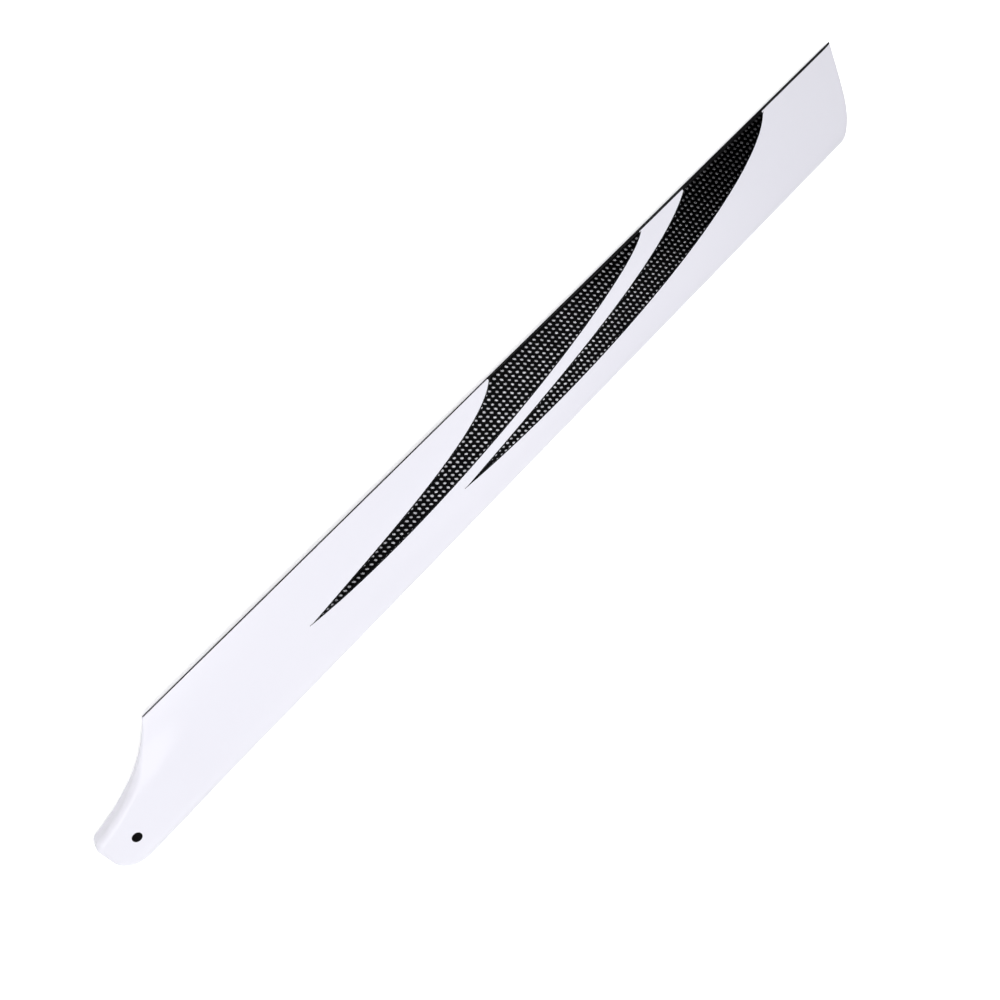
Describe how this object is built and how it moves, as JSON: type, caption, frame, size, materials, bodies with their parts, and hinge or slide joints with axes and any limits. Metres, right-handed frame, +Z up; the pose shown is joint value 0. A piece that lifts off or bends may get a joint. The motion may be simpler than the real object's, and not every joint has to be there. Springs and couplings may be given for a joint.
{
  "type": "helicopter rotor blade",
  "caption": "Straight main rotor blade for a model helicopter: symmetric airfoil, thick drilled root with a hollow neck, slanted tip, gloss white with bare carbon weave sweeps.",
  "frame": {"origin": "centre of the bolt hole at the blade's mid-thickness", "axes": "+X along the span from the root to the tip, +Y along the chord towards the trailing edge, +Z up out of the upper surface, along the bolt"},
  "size_m": [0.5343, 0.05, 0.011],
  "materials": {
    "painted_composite": "gloss white paint and clear coat over moulded carbon composite"
  },
  "bodies": {
    "root": {"blade": "painted_composite"}
  },
  "joints": []
}
